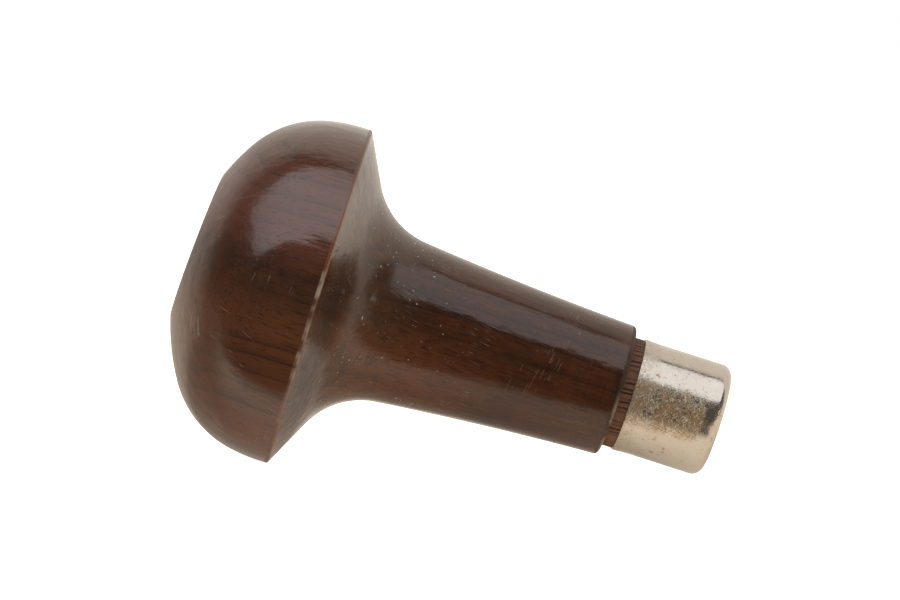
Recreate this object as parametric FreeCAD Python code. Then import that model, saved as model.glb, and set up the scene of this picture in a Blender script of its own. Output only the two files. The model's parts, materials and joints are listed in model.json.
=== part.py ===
# Palm holder of a lino cutter: a one-piece turned hardwood handle with a mushroom head, and a
# plated brass ferrule pressed on its tenon. Inside the stem lies the socket for the cutting nib:
# a drawn steel sleeve, and in it a spring clip whose four leaves press the nib's curved shank
# against the sleeve. One small wood screw down the middle holds clip and sleeve in the wood.
#
# Every piece is first drawn along the tool's own axis: x runs from the head's rim towards the
# ferrule's nose and starts in the plane of the rim. It is then laid down as it lies on a bench,
# on the rim of its head and the corner of its ferrule: +Z up, the bench at z = 0, +X towards
# the ferrule, and the origin under the middle of the whole tool. All sizes are millimetres.
import FreeCAD
import Part

import math
import os

# Head: a domed knob, three arcs that run into each other, with a sanded flat for the palm.
head_diameter = 44.0
land_arc_radius = 22.7  # side of the head, next to the rim
land_arc_middle = -0.93  # where the side is widest, behind the rim
land_arc_turn = 10.2  # degrees that the side turns before the shoulder starts
shoulder_arc_radius = 13.2
crown_arc_radius = 29.7
rim_edge_radius = 0.3
palm_flat_depth = 1.51  # taken off the top of the dome, on the axis
palm_flat_tilt = 3.2  # degrees out of square with the axis: more comes off the upper side
palm_flat_edge_radius = 0.6

# Stem: undercut below the rim, cove, and a long shallow hollow down to the shoulder.
undercut_angle = 27.0  # degrees out of square with the axis
cove_radius = 9.6
stem_length = 39.4  # rim plane to shoulder
stem_end_taper = 2.4  # half angle at the shoulder, degrees
stem_hollow_radius = 463.0
stem_end_edge_radius = 0.6

# Tenon: a short collar that the ferrule butts against, and the seat inside the ferrule.
collar_length = 1.45
collar_step = 0.1  # radial, from the ferrule's outside in to the collar
shoulder_step = 1.35  # radial, from the collar out to the end of the stem
tenon_edge_chamfer = 1.0

# Ferrule: a drawn cap, a little belled at its open end.
ferrule_diameter = 14.4
ferrule_wall = 0.5
ferrule_length = 11.75
ferrule_nose_radius = 1.4
ferrule_flare = 0.1
ferrule_flare_length = 2.6
ferrule_hole_clearance = 0.15  # radial, from the sleeve's bore to the hole in the nose
ferrule_hole_edge_radius = 0.2

# Nib socket: a flanged sleeve with a closed bottom and a rolled bead that grips the wood.
socket_bore_diameter = 7.2
socket_wall = 0.4
socket_depth = 21.5  # flange face to the inside of the bottom
socket_flange_clearance = 0.2  # radial, from the flange to the start of the ferrule's nose round
socket_mouth_radius = 0.3
socket_guide_length = 5.0  # flange face to the bead
bead_width = 1.0
bead_height = 0.3

# Spring clip: a cup with four leaves that bow out to the sleeve and turn in at their tips.
clip_thickness = 0.35
clip_base_clearance = 0.6  # radial, from the cup to the sleeve's bore
clip_base_length = 5.0
leaf_count = 4
leaf_length = 8.0  # bend line to the crest of the knee
leaf_spread = 64.0  # degrees of the circle that one leaf covers
leaf_knee_radius = 2.0
leaf_tip_turn = 50.0  # degrees that a tip turns in past the crest
leaf_wall_gap = 0.05  # crest to the sleeve's wall
leaf_root_gap = 0.05  # leaf to the cup, at the bend line

# Wood screw with a slotted pan head, driven down the socket.
screw_diameter = 1.8
screw_length = 7.4  # under the head
screw_point_length = 1.6
screw_head_diameter = 3.8
screw_head_height = 1.0
screw_head_edge_radius = 0.4
screw_slot_width = 0.5
screw_slot_depth = 0.5
screw_hole_clearance = 0.1  # radial, in the bottoms of clip and sleeve

OUT = "parts"
AXIS_START = FreeCAD.Vector(0, 0, 0)
AXIS = FreeCAD.Vector(1, 0, 0)
CROSSWISE = FreeCAD.Vector(0, 1, 0)

# Places along the axis that several pieces share.
shoulder_x = stem_length
ferrule_rear_x = shoulder_x + collar_length
nose_x = ferrule_rear_x + ferrule_length
flange_face_x = nose_x - ferrule_wall
tenon_end_x = flange_face_x - socket_wall
socket_bottom_x = flange_face_x - socket_depth
bead_x = flange_face_x - socket_guide_length - bead_width / 2
head_seat_x = socket_bottom_x + clip_thickness
hinge_x = socket_bottom_x + clip_base_length

# Radii that several pieces share.
head_r = head_diameter / 2
ferrule_r = ferrule_diameter / 2
tenon_r = ferrule_r - ferrule_wall
collar_r = ferrule_r - collar_step
stem_end_r = collar_r + shoulder_step
nose_flat_r = ferrule_r - ferrule_nose_radius
socket_bore_r = socket_bore_diameter / 2
socket_r = socket_bore_r + socket_wall
socket_flange_r = nose_flat_r - socket_flange_clearance
clip_base_r = socket_bore_r - clip_base_clearance
hinge_r = clip_base_r - clip_thickness / 2
screw_r = screw_diameter / 2


def point(x, r):
    """A point of a profile: x along the axis, r out from it."""
    return FreeCAD.Vector(x, r, 0)


def polar(centre, radius, degrees):
    """The point at that angle on a circle: 0 looks along the axis, 90 straight out."""
    a = math.radians(degrees)
    return point(centre.x + radius * math.cos(a), centre.y + radius * math.sin(a))


def angle_of(v):
    """A direction's angle in the profile, in degrees."""
    return math.degrees(math.atan2(v.y, v.x))


def on_line_and_circle(start, direction, centre, radius, side):
    """Where a line meets a circle: side -1 is the first meeting along direction, +1 the second."""
    unit = FreeCAD.Vector(direction).normalize()
    along = (centre - start).dot(unit)
    foot = start + unit * along
    reach = math.sqrt(radius**2 - (centre - foot).Length ** 2)
    return foot + unit * (side * reach)


class Outline:
    """A closed profile that is drawn point by point, as lines and arcs."""

    def __init__(self, start):
        self.start = start
        self.at = start
        self.edges = []

    def line(self, end):
        if (end - self.at).Length > 1e-7:
            self.edges.append(Part.LineSegment(self.at, end).toShape())
        self.at = end
        return self

    def arc(self, middle, end):
        self.edges.append(Part.Arc(self.at, middle, end).toShape())
        self.at = end
        return self

    def round(self, centre, end):
        """An arc about centre, the short way round."""
        radius = (self.at - centre).Length
        half_way = (self.at - centre) + (end - centre)
        middle = centre + half_way.normalize() * radius
        return self.arc(middle, end)

    def face(self):
        self.line(self.start)
        return Part.Face(Part.Wire(self.edges))

    def turned(self, degrees=360.0):
        """The solid that the profile sweeps about the tool's axis."""
        return self.face().revolve(AXIS_START, AXIS, degrees)


def head_arcs():
    """Centres of the head's land, shoulder and crown arcs, and the two points where they join."""
    land_centre = point(land_arc_middle, head_r - land_arc_radius)
    land_end = polar(land_centre, land_arc_radius, 90 + land_arc_turn)
    shoulder_centre = polar(land_end, shoulder_arc_radius, 90 + land_arc_turn - 180)
    between = crown_arc_radius - shoulder_arc_radius
    crown_x = shoulder_centre.x + math.sqrt(between**2 - shoulder_centre.y**2)
    crown_centre = point(crown_x, 0)
    join = angle_of(shoulder_centre - crown_centre)
    shoulder_end = polar(crown_centre, crown_arc_radius, join)
    return land_centre, land_end, shoulder_centre, shoulder_end, crown_centre


def rim_edge():
    """Centre of the rim's small round, and where it leaves the land and meets the undercut."""
    land_centre = head_arcs()[0]
    rim_r = land_centre.y + math.sqrt(land_arc_radius**2 - land_centre.x**2)
    down = polar(point(0, 0), 1, undercut_angle - 90)
    inwards = polar(point(0, 0), 1, undercut_angle + 180)
    start = point(0, rim_r) + inwards * rim_edge_radius
    centre = on_line_and_circle(start, down, land_centre, land_arc_radius - rim_edge_radius, -1)
    on_land = centre + (centre - land_centre).normalize() * rim_edge_radius
    on_undercut = centre - inwards * rim_edge_radius
    return centre, on_land, on_undercut


def cove_and_stem():
    """Centres of the cove and of the stem's long hollow, and the arcs' end points."""
    rim_centre, on_land, on_undercut = rim_edge()
    down = polar(point(0, 0), 1, undercut_angle - 90)
    outwards = polar(point(0, 0), 1, undercut_angle)
    stem_end = point(shoulder_x, stem_end_r)
    stem_centre = polar(stem_end, stem_hollow_radius, 90 - stem_end_taper)
    cove_centre = on_line_and_circle(
        on_undercut + outwards * cove_radius, down, stem_centre, stem_hollow_radius - cove_radius, 1
    )
    cove_start = cove_centre - outwards * cove_radius
    cove_end = cove_centre + (cove_centre - stem_centre).normalize() * cove_radius
    return cove_start, cove_centre, cove_end, stem_centre, stem_end


def handle_blank():
    """The handle as it comes off the lathe, before its flat and its bore."""
    land_centre, land_end, shoulder_centre, shoulder_end, crown_centre = head_arcs()
    rim_centre, on_land, on_undercut = rim_edge()
    cove_start, cove_centre, cove_end, stem_centre, stem_end = cove_and_stem()

    def on_hollow(x):
        return point(x, stem_centre.y - math.sqrt(stem_hollow_radius**2 - (x - stem_centre.x) ** 2))

    edge_start = on_hollow(shoulder_x - stem_end_edge_radius)
    edge_centre = edge_start - point(0, stem_end_edge_radius)

    outline = Outline(point(crown_centre.x - crown_arc_radius, 0))
    outline.round(crown_centre, shoulder_end)
    outline.round(shoulder_centre, land_end)
    outline.round(land_centre, on_land)
    outline.round(rim_centre, on_undercut)
    outline.line(cove_start)
    outline.round(cove_centre, cove_end)
    outline.arc(on_hollow((cove_end.x + edge_start.x) / 2), edge_start)
    outline.round(edge_centre, point(shoulder_x, edge_centre.y))
    outline.line(point(shoulder_x, collar_r))
    outline.line(point(ferrule_rear_x, collar_r))
    outline.line(point(ferrule_rear_x, tenon_r))
    outline.line(point(tenon_end_x - tenon_edge_chamfer, tenon_r))
    outline.line(point(tenon_end_x, tenon_r - tenon_edge_chamfer))
    outline.line(point(tenon_end_x, 0))
    return outline.turned()


def palm_flat_cutter():
    """The block of wood that the sander takes off the top of the dome."""
    crown_centre = head_arcs()[4]
    apex_x = crown_centre.x - crown_arc_radius
    side = 2 * head_diameter
    block = Part.makeBox(side, side, side, FreeCAD.Vector(-side, -side / 2, -side / 2))
    lean = FreeCAD.Rotation(CROSSWISE, palm_flat_tilt)
    block.Placement = FreeCAD.Placement(FreeCAD.Vector(apex_x + palm_flat_depth, 0, 0), lean)
    return block


def socket_outside(inner_r, end_x):
    """The sleeve's outside, from inner_r on its bottom to end_x: the wood's bore has this shape."""
    half = bead_width / 2 + socket_wall / 2
    outside_x = socket_bottom_x - socket_wall
    outline = Outline(point(outside_x, inner_r))
    outline.line(point(outside_x, socket_r))
    outline.line(point(bead_x - half, socket_r))
    outline.arc(point(bead_x, socket_r + bead_height), point(bead_x + half, socket_r))
    outline.line(point(end_x, socket_r))
    return outline


def turned_handle():
    """Head, stem and tenon in one piece of hardwood, bored for the socket and its screw."""
    handle = handle_blank().cut(palm_flat_cutter())
    planes = [face for face in handle.Faces if isinstance(face.Surface, Part.Plane)]
    flat = next(face for face in planes if face.normalAt(0, 0).x < 0)
    handle = handle.makeFillet(palm_flat_edge_radius, flat.OuterWire.Edges)
    bore = socket_outside(0, nose_x)
    bore.line(point(nose_x, 0))
    handle = handle.cut(bore.turned())
    return handle.cut(screw_shank(screw_r)).removeSplitter()


def ferrule():
    """A drawn cap: belled open end, rounded nose, and a round hole for the nib."""
    nose_centre = point(nose_x - ferrule_nose_radius, nose_flat_r)
    hole_r = socket_bore_r + ferrule_hole_clearance
    edge = ferrule_hole_edge_radius
    edge_centre = point(nose_x - edge, hole_r + edge)
    flare_end_x = ferrule_rear_x + ferrule_flare_length
    flare_middle_x = ferrule_rear_x + ferrule_flare_length / 2
    outline = Outline(point(ferrule_rear_x, tenon_r + ferrule_flare))
    outline.line(point(ferrule_rear_x, ferrule_r + ferrule_flare))
    outline.arc(
        point(flare_middle_x, ferrule_r + ferrule_flare / 4), point(flare_end_x, ferrule_r)
    )
    outline.line(point(nose_centre.x, ferrule_r))
    outline.round(nose_centre, point(nose_x, nose_centre.y))
    outline.line(point(nose_x, edge_centre.y))
    outline.round(edge_centre, point(edge_centre.x, hole_r))
    outline.line(point(flange_face_x, hole_r))
    outline.line(point(flange_face_x, nose_centre.y))
    outline.round(nose_centre, point(nose_centre.x, tenon_r))
    outline.line(point(flare_end_x, tenon_r))
    outline.arc(
        point(flare_middle_x, tenon_r + ferrule_flare / 4),
        point(ferrule_rear_x, tenon_r + ferrule_flare),
    )
    return outline.turned()


def nib_socket():
    """The sleeve: flanged mouth, guide bore, bead, nib bore, and a bottom with a screw hole."""
    mouth = socket_mouth_radius
    mouth_centre = point(flange_face_x - mouth, socket_bore_r + mouth)
    half = bead_width / 2
    hole_r = screw_r + screw_hole_clearance
    outline = socket_outside(hole_r, tenon_end_x)
    outline.line(point(tenon_end_x, socket_flange_r))
    outline.line(point(flange_face_x, socket_flange_r))
    outline.line(point(flange_face_x, mouth_centre.y))
    outline.round(mouth_centre, point(mouth_centre.x, socket_bore_r))
    outline.line(point(bead_x + half, socket_bore_r))
    outline.arc(point(bead_x, socket_bore_r + bead_height), point(bead_x - half, socket_bore_r))
    outline.line(point(socket_bottom_x, socket_bore_r))
    outline.line(point(socket_bottom_x, hole_r))
    return outline.turned()


def clip_base():
    """The clip's cup, which the leaves spring from and the screw holds down."""
    inner_r = clip_base_r - clip_thickness
    hole_r = screw_r + screw_hole_clearance
    rim_x = hinge_x - leaf_root_gap
    outline = Outline(point(socket_bottom_x, hole_r))
    outline.line(point(socket_bottom_x, clip_base_r))
    outline.line(point(rim_x, clip_base_r))
    outline.line(point(rim_x, inner_r))
    outline.line(point(head_seat_x, inner_r))
    outline.line(point(head_seat_x, hole_r))
    return outline.turned()


def leaf_angles():
    """Where each leaf stands about the axis, in degrees from straight up."""
    return [(number + 0.5) * 360.0 / leaf_count for number in range(leaf_count)]


def clip_leaf(angle):
    """One leaf: straight up to its knee, which touches the sleeve, and turned in at the tip."""
    crest_r = socket_bore_r - leaf_wall_gap
    knee = point(hinge_x + leaf_length, crest_r - leaf_knee_radius)
    root = point(hinge_x, clip_base_r)
    to_knee = knee - root
    rise = math.degrees(math.asin(leaf_knee_radius / to_knee.Length)) + angle_of(to_knee)
    touch = polar(knee, leaf_knee_radius, 90 + rise)
    tip = polar(knee, leaf_knee_radius, 90 - leaf_tip_turn)
    inner_knee_radius = leaf_knee_radius - clip_thickness
    inner_tip = polar(knee, inner_knee_radius, 90 - leaf_tip_turn)
    inner_touch = polar(knee, inner_knee_radius, 90 + rise)
    inner_root_r = inner_touch.y - (inner_touch.x - hinge_x) * math.tan(math.radians(rise))
    outline = Outline(root)
    outline.line(touch)
    outline.round(knee, tip)
    outline.line(inner_tip)
    outline.round(knee, inner_touch)
    outline.line(point(hinge_x, inner_root_r))
    leaf = outline.turned(leaf_spread)
    leaf.rotate(AXIS_START, AXIS, 90 - angle - leaf_spread / 2)
    return leaf


def screw_shank(radius):
    """Shank and point of the wood screw, or the hole that they make."""
    outline = Outline(point(head_seat_x - screw_length, 0))
    outline.line(point(head_seat_x - screw_length + screw_point_length, radius))
    outline.line(point(head_seat_x, radius))
    outline.line(point(head_seat_x, 0))
    return outline.turned()


def clip_screw():
    """Slotted pan-head wood screw."""
    head_r_out = screw_head_diameter / 2
    top_x = head_seat_x + screw_head_height
    edge_centre = point(top_x - screw_head_edge_radius, head_r_out - screw_head_edge_radius)
    outline = Outline(point(head_seat_x, 0))
    outline.line(point(head_seat_x, head_r_out))
    outline.line(point(edge_centre.x, head_r_out))
    outline.round(edge_centre, point(top_x, edge_centre.y))
    outline.line(point(top_x, 0))
    slot = Part.makeBox(
        screw_slot_depth + 1, 2 * screw_head_diameter, screw_slot_width,
        FreeCAD.Vector(top_x - screw_slot_depth, -screw_head_diameter, -screw_slot_width / 2),
    )
    return screw_shank(screw_r).fuse(outline.turned()).cut(slot).removeSplitter()


def bench_tilt():
    """How far the axis falls towards the ferrule when rim and nose both touch the bench."""
    rim_centre = rim_edge()[0]
    nose_centre = point(nose_x - ferrule_nose_radius, nose_flat_r)
    to_rim = rim_centre - nose_centre
    lean = math.atan2(-to_rim.x, to_rim.y)
    return math.acos((ferrule_nose_radius - rim_edge_radius) / to_rim.Length) - lean


def bench_placement(handle, cap):
    """The turn and shift that lay the tool down with the origin under its middle."""
    turn = FreeCAD.Rotation(CROSSWISE, math.degrees(bench_tilt()))
    laid = FreeCAD.Placement(FreeCAD.Vector(0, 0, 0), turn)
    low_x = handle.transformed(laid.toMatrix(), copy=True).optimalBoundingBox(False).XMin
    high_x = cap.transformed(laid.toMatrix(), copy=True).optimalBoundingBox(False).XMax
    rim_centre = rim_edge()[0]
    lowest = turn.multVec(FreeCAD.Vector(rim_centre.x, 0, -rim_centre.y)).z - rim_edge_radius
    return FreeCAD.Placement(FreeCAD.Vector(-(low_x + high_x) / 2, 0, -lowest), turn)


def pieces():
    """Every piece along the tool's axis, by its name."""
    made = {
        "turned_handle": turned_handle(),
        "ferrule": ferrule(),
        "nib_socket": nib_socket(),
        "clip_base": clip_base(),
        "clip_screw": clip_screw(),
    }
    for number, angle in enumerate(leaf_angles(), start=1):
        made[f"clip_leaf_{number}"] = clip_leaf(angle)
    return made


def main():
    os.makedirs(OUT, exist_ok=True)
    made = pieces()
    placement = bench_placement(made["turned_handle"], made["ferrule"])
    for name, shape in made.items():
        laid = shape.transformed(placement.toMatrix(), copy=True)
        laid.exportStep(os.path.join(OUT, name + ".step"))


if __name__ == "__main__":
    main()
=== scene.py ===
# Palm holder of a lino cutter: a turned walnut handle with a mushroom head, a nickel-plated brass
# ferrule, and inside it the steel socket and spring clip that grip a cutting nib.
#
# Every piece is modelled along the tool's own axis, x from the rim of the head towards the nose
# of the ferrule and z up, and is then laid down where the frame has it.
import json
import math
import random

import bpy
from mathutils import Matrix, Quaternion, Vector


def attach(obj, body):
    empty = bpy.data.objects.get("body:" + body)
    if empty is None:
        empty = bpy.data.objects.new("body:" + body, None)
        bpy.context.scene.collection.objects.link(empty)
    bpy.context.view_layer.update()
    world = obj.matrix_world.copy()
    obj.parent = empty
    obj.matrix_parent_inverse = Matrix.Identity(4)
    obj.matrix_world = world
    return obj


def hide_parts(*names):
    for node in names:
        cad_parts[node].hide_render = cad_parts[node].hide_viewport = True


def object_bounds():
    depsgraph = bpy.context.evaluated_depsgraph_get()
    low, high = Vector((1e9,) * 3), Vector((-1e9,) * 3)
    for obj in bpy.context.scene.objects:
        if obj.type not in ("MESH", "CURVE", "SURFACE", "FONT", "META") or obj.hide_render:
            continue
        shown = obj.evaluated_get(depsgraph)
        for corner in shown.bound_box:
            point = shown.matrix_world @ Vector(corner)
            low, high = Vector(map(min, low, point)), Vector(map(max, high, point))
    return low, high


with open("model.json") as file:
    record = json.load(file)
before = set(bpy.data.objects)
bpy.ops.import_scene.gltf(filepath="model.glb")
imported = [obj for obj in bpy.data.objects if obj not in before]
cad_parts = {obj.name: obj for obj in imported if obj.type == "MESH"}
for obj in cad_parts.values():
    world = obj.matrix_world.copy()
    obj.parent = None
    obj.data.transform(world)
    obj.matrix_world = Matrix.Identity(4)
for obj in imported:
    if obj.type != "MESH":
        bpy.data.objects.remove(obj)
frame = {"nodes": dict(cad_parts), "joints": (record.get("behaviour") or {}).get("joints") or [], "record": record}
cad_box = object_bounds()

bl_info = {
    "name": "Lino cutter palm holder",
    "version": (1, 0, 0),
    "blender": (4, 5, 0),
    "location": "View3D > Sidebar > Lino cutter",
    "description": "Models a wooden palm holder for lino cutting nibs, with its ferrule and clip",
    "category": "Add Mesh",
}

MM = 0.001
# The scale that gives a wave texture one wave per millimetre.
WAVE_MILLIMETRE = math.pi / 10
# The frame's box is measured on flat facets, so the finer pieces are drawn this much inside it.
FACET_ROOM = 0.02 * MM
# Vertices closer than this are one.
MERGE_DISTANCE = 0.002 * MM
# Edges flatter than this are shaded smooth.
SMOOTH_ANGLE = math.radians(35)
WHITE = (1, 1, 1)
# From the middle of the tool's box to the place that the camera looks at.
AIM_OFFSET = Vector((-0.3, 0, -0.53)) * MM

# Where the frame has the tool: its axis comes from the mount at the socket's mouth.
MOUTH_FROM_RIM = 49.45 * MM
mouth = next(m for m in frame["record"]["mounts"] if m["name"] == "nib_socket_mouth")
tool_axis = Vector(mouth["axis"]).normalized()
tool_tilt = math.atan2(-tool_axis.z, tool_axis.x)
tool_origin = Vector(mouth["pos_m"]) - tool_axis * MOUTH_FROM_RIM
laid_down = Matrix.Translation(tool_origin) @ Matrix.Rotation(tool_tilt, 4, "Y")
stood_up = laid_down.inverted()


def reach(node):
    """A node's lowest and highest place along the tool's axis, and its largest radius."""
    places = [stood_up @ v.co for v in frame["nodes"][node].data.vertices]
    along = [p.x for p in places]
    return min(along), max(along), max(math.hypot(p.y, p.z) for p in places)


ferrule_rear, ferrule_nose, ferrule_out = reach("ferrule")
ferrule_nose -= FACET_ROOM
socket_back, socket_face, flange_out = reach("nib_socket")
cup_back, cup_rim, cup_out = reach("clip_base")
leaf_root, _, leaf_out = reach("clip_leaf_1")
screw_point, screw_top, screw_head_out = reach("clip_screw")
head_out = reach("turned_handle")[2] - FACET_ROOM
bore_out = mouth["dims"]["r_mm"] * MM


def linear(hex_colour):
    """An sRGB hex colour as linear red, green, blue and alpha."""
    parts = [int(hex_colour[i:i + 2], 16) / 255 for i in (1, 3, 5)]
    return [c / 12.92 if c <= 0.04045 else ((c + 0.055) / 1.055) ** 2.4 for c in parts] + [1.0]


def length(name, description, millimetres):
    return bpy.props.FloatProperty(
        name=name, description=description, default=millimetres * MM, unit="LENGTH")


def number(name, description, default):
    return bpy.props.FloatProperty(name=name, description=description, default=default, min=0.0)


def angle(name, description, degrees):
    return bpy.props.FloatProperty(
        name=name, description=description, default=math.radians(degrees), subtype="ANGLE")


def colour(name, description, hex_colour):
    return bpy.props.FloatVectorProperty(
        name=name, description=description, default=linear(hex_colour)[:3], subtype="COLOR",
        min=0.0, max=1.0)


# --- settings ---------------------------------------------------------------------------------

class HandleSettings(bpy.types.PropertyGroup):
    land_radius: length("Land arc", "Arc of the head's side next to the rim", 22.7)
    land_middle: length("Widest place", "Where the head is widest, behind the rim", -0.93)
    land_turn: angle("Land turn", "How far the side turns before the shoulder arc", 10.2)
    shoulder_radius: length("Shoulder arc", "Arc between side and crown", 13.2)
    crown_radius: length("Crown arc", "Arc of the top of the dome", 29.7)
    rim_edge: length("Rim edge", "Round of the rim's edge", 0.3)
    flat_depth: length("Palm flat", "Wood sanded off the top of the dome", 1.51)
    flat_tilt: angle("Flat tilt", "How far the palm flat leans", 3.2)
    flat_edge: length("Flat edge", "Round of the palm flat's edge", 0.6)
    undercut: angle("Undercut", "Slope of the head's underside", 27.0)
    cove_radius: length("Cove", "Arc between underside and stem", 9.6)
    stem_length: length("Stem", "From the rim to the shoulder", 39.4)
    stem_end: length("Stem end", "Radius of the stem at the shoulder", 8.45)
    stem_taper: angle("Stem taper", "Half angle of the stem at the shoulder", 2.4)
    stem_hollow: length("Stem hollow", "Radius of the stem's long shallow hollow", 463.0)
    stem_edge: length("Shoulder edge", "Round of the shoulder's edge", 0.6)
    collar_out: length("Collar", "Radius of the wood that shows behind the ferrule", 7.1)
    tenon_out: length("Tenon", "Radius of the wood inside the ferrule", 6.68)
    furrow_gap: length("Furrow spacing", "Between the furrows round the collar", 0.62)
    furrow_depth: length("Furrow depth", "Depth of the deepest furrows", 0.16)
    ring_gap: length("Ring spacing", "Between two growth rings", 2.1)
    heartwood: colour("Heartwood", "Mid brown of the walnut", "#4a2713")
    latewood: colour("Latewood", "Dark lines of the growth rings, and pores", "#25120a")
    earlywood: colour("Earlywood", "Lightest streaks of the walnut", "#62361c")
    worn_wood: colour("Worn wood", "Wood where the varnish is rubbed through", "#7a3f14")
    # Partly the wood's own tone, partly painted light from the softbox on the head's upper side.
    ruddy: colour("Ruddy wood", "Redder wood on the upper side of the head", "#804634")
    # The colour of painted light bounced off the floor onto the lower side of head and stem.
    bounce_tint: colour("Amber wood", "Warmer wood on the lower side", "#7e4824")
    bare_wood: colour("Bare wood", "Unvarnished wood of the collar", "#76533d")
    scuffs: colour("Scuffs", "Grey bloom of scuffed varnish", "#675442")
    # Also the colour of the painted highlight along the rim.
    residue_and_sheen: colour("Residue", "Old polish and dust in corners and pits", "#cbbba4")


class FerruleSettings(bpy.types.PropertyGroup):
    wall: length("Wall", "Thickness of the drawn cap", 0.5)
    nose_radius: length("Nose round", "Round of the closed end", 1.4)
    flare: length("Bell", "How far the open end is belled", 0.1)
    flare_length: length("Bell length", "Length of the belled part", 2.6)
    hole_out: length("Hole", "Radius of the hole for the nib", 3.75)
    hole_edge: length("Hole edge", "Round of the hole's edge", 0.2)
    nickel: colour("Nickel", "Colour of the plating", "#c6bfb6")
    brass: colour("Brass", "Where the plating is worn thin and scratched", "#b08f63")
    # Painted glints: this light colour stands for light flashing off the scratches.
    glint: colour("Glint colour", "Bright brass in the bottom of the scratches", "#eadcc4")
    tarnish: colour("Tarnish", "Brown specks and clouds", "#96714a")


class InsertSettings(bpy.types.PropertyGroup):
    sleeve_wall: length("Sleeve wall", "Thickness of the drawn sleeve", 0.4)
    mouth_edge: length("Mouth edge", "Round at the mouth of the sleeve", 0.3)
    bead_from_face: length("Bead place", "From the flange's face to the middle of the bead", 5.5)
    bead_width: length("Bead width", "Width of the rolled bead inside", 1.0)
    bead_height: length("Bead height", "How far the bead is rolled out", 0.3)
    clip_sheet: length("Clip sheet", "Thickness of the spring steel", 0.35)
    leaf_length: length("Leaf", "From the bend line to the crest of the knee", 8.0)
    leaf_spread: angle("Leaf spread", "How much of the circle one leaf covers", 64.0)
    knee_radius: length("Knee", "Radius of the leaf's knee", 2.0)
    tip_turn: angle("Tip turn", "How far the tip turns in past the crest", 50.0)
    screw_out: length("Screw", "Radius of the screw's shank", 0.9)
    screw_taper: length("Screw point", "Length of the screw's point", 1.6)
    head_height: length("Screw head", "Height of the screw's head", 1.0)
    head_edge: length("Screw head edge", "Round of the screw's head", 0.4)
    slot_width: length("Slot", "Width of the screwdriver slot", 0.5)
    slot_depth: length("Slot depth", "Depth of the screwdriver slot", 0.5)
    sleeve_steel: colour("Sleeve steel", "Dull drawn steel", "#b2aea8")
    sleeve_stain: colour("Sleeve stain", "Brown film of old oil in the sleeve", "#7a6650")
    spring_steel: colour("Spring steel", "Blued spring temper", "#6a7180")
    spring_stain: colour("Spring stain", "Straw-coloured edges of the temper", "#7e6a55")
    zinc: colour("Zinc", "Dull zinc plating of the screw", "#bcc0c4")
    zinc_stain: colour("Zinc stain", "White and grey bloom on the zinc", "#8b8f94")


class StageSettings(bpy.types.PropertyGroup):
    lens: number("Lens", "Focal length in millimetres", 144.0)
    distance: length("Camera distance", "From the camera to the tool", 454.0)
    elevation: angle("Camera elevation", "How far the camera looks down", 5.0)
    roll: angle("Camera roll", "How far the camera is turned about its own axis", 1.6)
    box_radiance: number("Softbox", "Brightness of the softbox", 1.3)
    box_away: length("Softbox distance", "From the tool to the softbox", 800.0)
    box_width: length("Softbox width", "Across the view", 2100.0)
    box_depth: length("Softbox depth", "Along the view", 830.0)
    box_aside: length("Softbox aside", "How far the softbox hangs to the right", 80.0)
    box_lean: angle("Softbox lean", "How far it hangs to the camera's side", 22.5)
    box_colour: colour("Softbox colour", "Colour of its light", "#f9fbff")
    card_radiance: number("Card radiance", "Brightness of the small light on the right", 8.0)
    card_away: length("Card distance", "From the tool to the small light", 200)
    card_size: length("Card size", "Width and height of the small light", 14)
    card_colour: colour("Card colour", "Colour of the small light", "#fff0d4")
    backdrop: number("Backdrop", "Brightness of the backdrop, as the tool mirrors it", 0.95)
    room: number("Room", "Brightness of the room on the camera's side", 0.12)
    room_colour: colour("Room colour", "Colour of the light from the room", "#fff6ea")
    floor_shine: number("Floor shine", "Brightness of the floor, as the tool mirrors it", 1.08)
    floor_fill: number("Floor fill", "Least light that any of the floor throws on the tool", 0.62)
    floor_bounce: colour("Floor bounce", "Colour of the light off the floor", "#fff0dc")
    floor_glow: number("Floor glow", "Light added to the floor's own, so that it stays pale", 0.95)
    floor_colour: colour("Floor", "Plain pale floor", "#f8f3ec")


# --- modelling --------------------------------------------------------------------------------

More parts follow.
